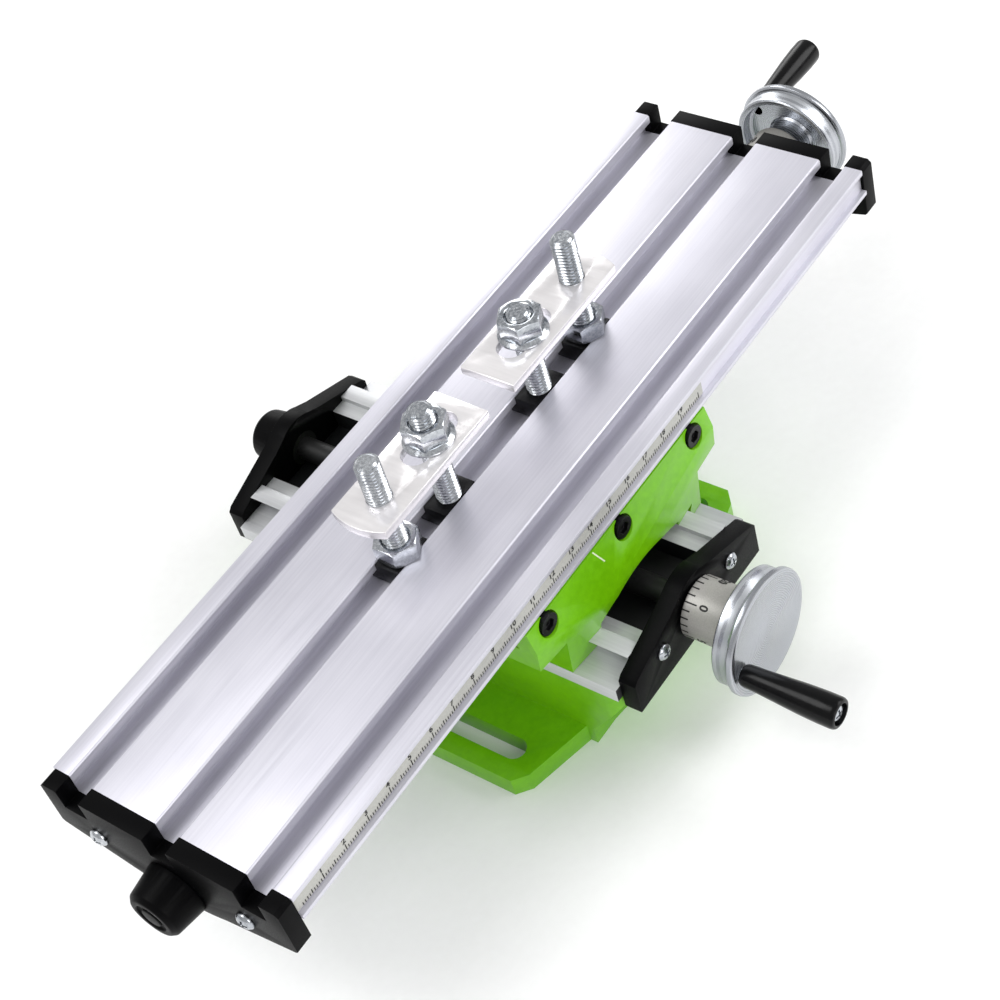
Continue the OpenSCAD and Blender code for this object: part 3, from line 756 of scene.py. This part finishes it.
@dataclass
class Drive:
    """One feed drive: graduated dial, handwheel, crank grip and its spindle screw."""

    name: str
    place: tuple[float, float, float]
    way: Way
    body: Body
    grip_body: Body
    wheel_finish: Finish
    dial_round: float = 0.5
    divisions: int = 25
    mark_len: float = 2.6
    long_mark_len: float = 4.2
    numeral: float = 3.9
    bold: float = 0.12
    start_turn: float = 33.0

    def on_axis(self, depth: float) -> Vector:
        """Returns the point at a distance from the mounting face, in mm."""
        return Vector(self.place) + self.way.value.to_3x3() @ Vector((0, 0, depth))

    def turn(self, division: int) -> Matrix:
        """Returns the turn about the axis to one of the dial's divisions."""
        angle = math.radians(self.start_turn) + 2 * math.pi * division / self.divisions
        return Matrix.Rotation(angle, 4, "Z")

    def build(self) -> None:
        """Makes the drive's pieces."""
        self.wheel()
        self.dial()
        self.grip()
        softened(f"{self.name}_grip_spindle", 0.12, ZINC_PLATE, 1)

    def wheel(self) -> None:
        """Turns the dished handwheel with its proud lip."""
        profile = [(3.9, 22.8), (3.9, 14.6), (4.5, 14.5), (7.6, 14.5), (8, 14.9), (8, 20.9), (8.6, 21.6),
                   (15.6, 21.6), (16.5, 20.8), (16.9, 17.3), (17.3, 17), (18.5, 17), (18.9, 17.4),
                   (18.9, 22), (19.1, 22.4), (19.9, 22.6), (20.3, 23), (20.3, 24.2), (20.1, 24.7),
                   (19.5, 25), (18.8, 25), (18.4, 24.85), (6, 24.85), (5.6, 24.95), (0.4, 24.95)]
        wheel = turned(profile, Vector(self.place), self.way, 128)
        only(wheel)
        bpy.ops.object.shade_smooth_by_angle(angle=SMOOTH_ANGLE)
        finished(wheel, f"{self.name}_handwheel_finished", self.body, self.wheel_finish,
                 "turned_aluminium", f"{self.name}_handwheel")

    def dial(self) -> None:
        """Turns the dial and fills its marks and numbers with black."""
        profile = [(4.1, 0.55), (9.6, 0.5), (10, 0.9), (10, 13.2), (9.7, 14), (9.2, 14.45), (4.1, 14.45)]
        dial = turned(profile, Vector(self.place), self.way, 96)
        only(dial)
        bpy.ops.object.shade_smooth_by_angle(angle=SMOOTH_ANGLE)
        finished(dial, f"{self.name}_dial_finished", self.body, DIAL_CHROME, "dial_aluminium",
                 f"{self.name}_dial")
        marks = []
        frame_on = Matrix.Translation(Vector(self.place) * MM) @ self.way.value
        for i in range(self.divisions):
            length = self.long_mark_len if i % 5 == 0 else self.mark_len
            mark = slab((-0.24, 9.7, 0.7), (0.24, 10.05, 0.7 + length))
            mark.matrix_world = frame_on @ self.turn(i)
            settle(mark)
            marks.append(mark)
        for i in range(self.divisions // 5):
            round_axis = self.turn(5 * i)
            stand = (Matrix.Translation(Vector((0, 9.9, 7.2)) * MM) @ Matrix.Rotation(-math.pi / 2, 4, "X")
                     @ Matrix.Rotation(math.pi, 4, "Z"))
            marks.append(lettering(str(5 * i), self.numeral, 0.3, frame_on @ round_axis @ stand, self.bold))
        finished(joined(marks), f"{self.name}_dial_marks", self.body, BLACK_INK, "dial_aluminium")

    def grip(self) -> None:
        """Turns the tapered crank grip with a recess for its screw."""
        low, high = (Vector(corner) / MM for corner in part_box(f"{self.name}_grip"))
        middle = (low + high) / 2
        along = self.way.value.to_3x3() @ Vector((0, 0, 1))
        foot = middle - along * abs((high - low).dot(along)) / 2
        length = abs((high - low).dot(along))
        profile = [(2.3, length - 2.4), (3.5, length - 2.4), (3.5, length - 0.15), (3.7, length),
                   (4.1, length), (4.6, length - 0.25), (4.9, length - 0.8), (5, length - 1.6),
                   (5, length - 6), (4.75, length * 0.62), (4.25, length * 0.4), (3.8, length * 0.2),
                   (3.6, 1.6), (3.4, 0.5), (3.0, 0.05), (2.1, 0.05)]
        grip = turned(profile, foot, self.way, 64)
        only(grip)
        bpy.ops.object.shade_smooth_by_angle(angle=SMOOTH_ANGLE)
        finished(grip, f"{self.name}_grip_finished", self.grip_body, BLACK_PHENOLIC, "black_plastic",
                 f"{self.name}_grip")


@dataclass
class Clamp:
    """One strap clamp: strap, two studs in T-nuts, a flange nut and a jack nut."""

    name: str
    body: Body
    strap_round: float = 0.45
    pitch: float = 1.25
    nut_af: float = 13.0
    spigot: float = 0.35
    slot_neck: float = 8.6

    def build(self) -> None:
        """Makes the clamp's pieces."""
        softened(f"{self.name}_strap", self.strap_round, STRAP_STEEL, 3)
        softened(f"{self.name}_t_nuts", 0.3, BLACK_OXIDE)
        self.stud("stud")
        self.stud("jack_stud")
        self.flange_nut()
        self.jack_nut()

    def axis(self, node: str) -> tuple[Vector, Vector, Vector]:
        """Returns a node's foot on its axis and its lowest and highest corners, in mm."""
        low, high = (Vector(corner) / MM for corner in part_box(f"{self.name}_{node}"))
        return Vector(((low.x + high.x) / 2, (low.y + high.y) / 2, 0)), low, high

    def stud(self, node: str) -> None:
        """Cuts a stud's thread.

        Args:
            node: End of the stud's node name.
        """
        foot, low, high = self.axis(node)
        rod = threaded((high.x - low.x) / 2, self.pitch, low.z, high.z - 0.7, foot, Way.UP)
        core = (high.x - low.x) / 2 - 0.7
        tip = turned([(core, high.z - 1.4), (core, high.z - 0.5), (core - 0.6, high.z)], foot, Way.UP, 32)
        finished(joined([rod, tip]), f"{self.name}_{node}_thread", self.body, ZINC_PLATE, "plated_steel",
                 f"{self.name}_{node}")

    def flange_nut(self) -> None:
        """Makes the nut with its flange."""
        foot, low, high = self.axis("flange_nut")
        bore = 4.0
        radius = (high.x - low.x) / 2
        nut = hexagon(self.nut_af, low.z + 1.0, high.z, bore, foot)
        flange = turned([(bore, low.z), (radius - 0.3, low.z), (radius, low.z + 0.35),
                         (radius - 0.1, low.z + 0.9), (self.nut_af / 2 + 0.4, low.z + 1.9),
                         (bore, low.z + 1.9)], foot, Way.UP, 96)
        rounded(flange, 0.1, 1, 40)
        finished(joined([nut, flange]), f"{self.name}_flange_nut_finished", self.body, ZINC_PLATE,
                 "plated_steel", f"{self.name}_flange_nut")

    def jack_nut(self) -> None:
        """Makes the nut that locks the jack stud."""
        foot, low, high = self.axis("jack_nut")
        nut = hexagon(self.nut_af, low.z, high.z, 4.0, foot)
        seat = low.z - self.spigot
        spigot = turned([(4.0, seat), (5.9, seat), (6.2, seat + 0.3), (6.2, low.z + 0.5),
                         (4.0, low.z + 0.5)], foot, Way.UP, 48)
        flat = self.slot_neck / 2
        for side in (-1, 1):
            edit(spigot)
            bpy.ops.mesh.bisect(plane_co=(0, (foot.y + side * flat) * MM, 0), plane_no=(0, side, 0),
                                use_fill=True, clear_outer=True)
            leave()
        finished(joined([nut, spigot]), f"{self.name}_jack_nut_finished", self.body, ZINC_PLATE,
                 "plated_steel", f"{self.name}_jack_nut")


@dataclass
class Studio:
    """Pale floor, soft lights and the camera."""

    lens_mm: float = 74.2
    place: tuple[float, float, float] = (-0.2920, -0.3444, 0.5225)
    right: tuple[float, float, float] = (0.5643, -0.7972, -0.2144)
    up: tuple[float, float, float] = (0.6906, 0.3136, 0.6517)
    back: tuple[float, float, float] = (-0.4524, -0.5158, 0.7275)
    floor_half: float = 3.0
    world_strength: float = 0.6

    def camera(self) -> None:
        """Sets the camera."""
        data = bpy.data.cameras.new("camera")
        data.lens = self.lens_mm
        data.sensor_width = 36
        camera = bpy.data.objects.new("camera", data)
        bpy.context.scene.collection.objects.link(camera)
        turn = Matrix((self.right, self.up, self.back)).transposed().to_4x4()
        camera.matrix_world = Matrix.Translation(self.place) @ turn
        bpy.context.scene.camera = camera

    def floor(self) -> None:
        """Lays the plain pale floor."""
        bpy.ops.mesh.primitive_plane_add(size=2 * self.floor_half, location=(0, 0, 0))
        floor = only(bpy.context.object)
        floor.name = "floor"
        paper = Finish("pale_paper_floor", "#ffffff", "#fbfbfb", 0.0, 0.9, 0.02, 4.0, bump_um=2)
        floor.data.materials.append(paper.material())

    def lights(self) -> None:
        """Hangs large soft lights and a bright even world."""
        lamps = (("key", (-0.5, 0.45, 1.2), 0.7, 7.0), ("fill", (0.8, -0.7, 0.7), 0.7, 6.5),
                 ("front", (-0.5, -1.0, 0.6), 0.6, 4.0), ("back", (0.8, 0.8, 0.5), 0.5, 3.0))
        for name, place, size, power in lamps:
            data = bpy.data.lights.new(name, "AREA")
            data.shape = "SQUARE"
            data.size = size
            data.energy = power
            lamp = bpy.data.objects.new(name, data)
            bpy.context.scene.collection.objects.link(lamp)
            lamp.location = place
            lamp.rotation_euler = (-Vector(place)).to_track_quat("-Z", "Y").to_euler()
        world = bpy.data.worlds.new("studio")
        bpy.context.scene.world = world
        world.use_nodes = True
        background = world.node_tree.nodes["Background"]
        background.inputs["Color"].default_value = linear("#ffffff")
        background.inputs["Strength"].default_value = self.world_strength
        bpy.context.scene.view_settings.view_transform = "Standard"

    def build(self) -> None:
        """Sets the camera, floor and lights."""
        self.camera()
        self.floor()
        self.lights()


def main() -> None:
    """Builds every sub-assembly in order and dresses the nodes that stay in view."""
    logging.basicConfig(level=logging.INFO, format="%(name)s %(message)s")
    Studio().build()
    for node, slot in NODE_SLOT.items():
        dress(node, NODE_FINISH.get(node, SLOT_FINISH[slot]))
    shown = (Base(), Saddle(), Table(),
             Drive("x", (158.5, -13.4, 58.1), Way.RIGHT, Body.X_SCREW, Body.X_CRANK_GRIP, WHEEL_X),
             Drive("y", (0.0, -81.6, 38.4), Way.NEAR, Body.Y_SCREW, Body.Y_CRANK_GRIP, WHEEL_Y),
             Clamp("clamp_a", Body.CLAMP_A), Clamp("clamp_b", Body.CLAMP_B))
    for assembly in shown:
        assembly.build()


if __name__ == "__main__":
    main()
